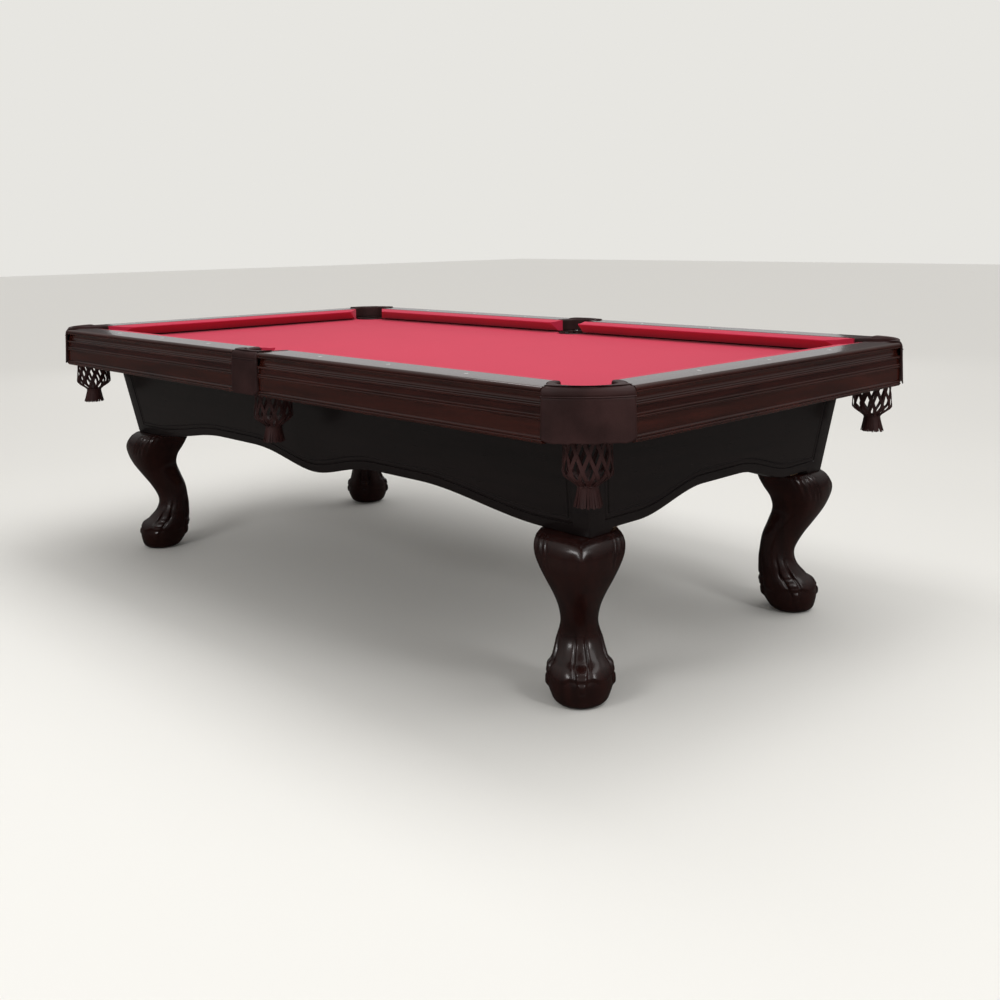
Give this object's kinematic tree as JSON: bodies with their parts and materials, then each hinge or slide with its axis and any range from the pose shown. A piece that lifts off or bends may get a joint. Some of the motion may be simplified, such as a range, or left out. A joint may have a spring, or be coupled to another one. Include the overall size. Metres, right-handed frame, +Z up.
{
  "type": "pool table",
  "caption": "Drop-pocket slate pool table with moulded rails, arched cabinet and carved cabriole legs on ball-and-claw feet.",
  "frame": {"origin": "on the floor under the middle of the bed", "axes": "+X along the table, +Y across it, +Z up"},
  "size_m": [2.5232, 1.4056, 0.764],
  "materials": {
    "rail_wood": "gloss lacquered espresso-cherry stained hardwood",
    "cabinet_wood": "satin lacquered near-black espresso stained hardwood",
    "leg_wood": "gloss lacquered carved hardwood, espresso-cherry stain",
    "frame_wood": "plain unfinished structural timber",
    "slate": "honed natural slate, matte",
    "cloth": "crimson woven worsted billiard cloth",
    "cushion": "crimson billiard cloth over rubber cushion",
    "leather": "dark red-brown smooth leather with seams",
    "net_leather": "dark red-brown leather straps and fringe",
    "cast_iron": "black painted cast iron"
  },
  "bodies": {
    "root": {"slate_left": "slate", "slate_centre": "slate", "slate_right": "slate", "bed_cloth": "cloth", "rail_front_left": "rail_wood", "rail_front_right": "rail_wood", "rail_back_left": "rail_wood", "rail_back_right": "rail_wood", "rail_left_end": "rail_wood", "rail_right_end": "rail_wood", "skirt_front_left": "rail_wood", "skirt_front_right": "rail_wood", "skirt_back_left": "rail_wood", "skirt_back_right": "rail_wood", "skirt_left_end": "rail_wood", "skirt_right_end": "rail_wood", "cushion_front_left": "cushion", "cushion_front_right": "cushion", "cushion_back_left": "cushion", "cushion_back_right": "cushion", "cushion_left_end": "cushion", "cushion_right_end": "cushion", "pocket_leather_front_left": "leather", "pocket_leather_front_right": "leather", "pocket_leather_back_left": "leather", "pocket_leather_back_right": "leather", "pocket_leather_front_side": "leather", "pocket_leather_back_side": "leather", "pocket_iron_front_left": "cast_iron", "pocket_iron_front_right": "cast_iron", "pocket_iron_back_left": "cast_iron", "pocket_iron_back_right": "cast_iron", "pocket_iron_front_side": "cast_iron", "pocket_iron_back_side": "cast_iron", "pocket_net_front_left": "net_leather", "pocket_net_front_right": "net_leather", "pocket_net_back_left": "net_leather", "pocket_net_back_right": "net_leather", "pocket_net_front_side": "net_leather", "pocket_net_back_side": "net_leather", "apron_front": "cabinet_wood", "apron_back": "cabinet_wood", "apron_left_end": "cabinet_wood", "apron_right_end": "cabinet_wood", "corner_block_front_left": "frame_wood", "corner_block_front_right": "frame_wood", "corner_block_back_left": "frame_wood", "corner_block_back_right": "frame_wood", "cross_beam_left": "frame_wood", "cross_beam_right": "frame_wood", "cross_beam_centre": "frame_wood", "long_beam_front": "frame_wood", "long_beam_back": "frame_wood", "leg_front_left": "leg_wood", "leg_front_right": "leg_wood", "leg_back_left": "leg_wood", "leg_back_right": "leg_wood"}
  },
  "joints": []
}
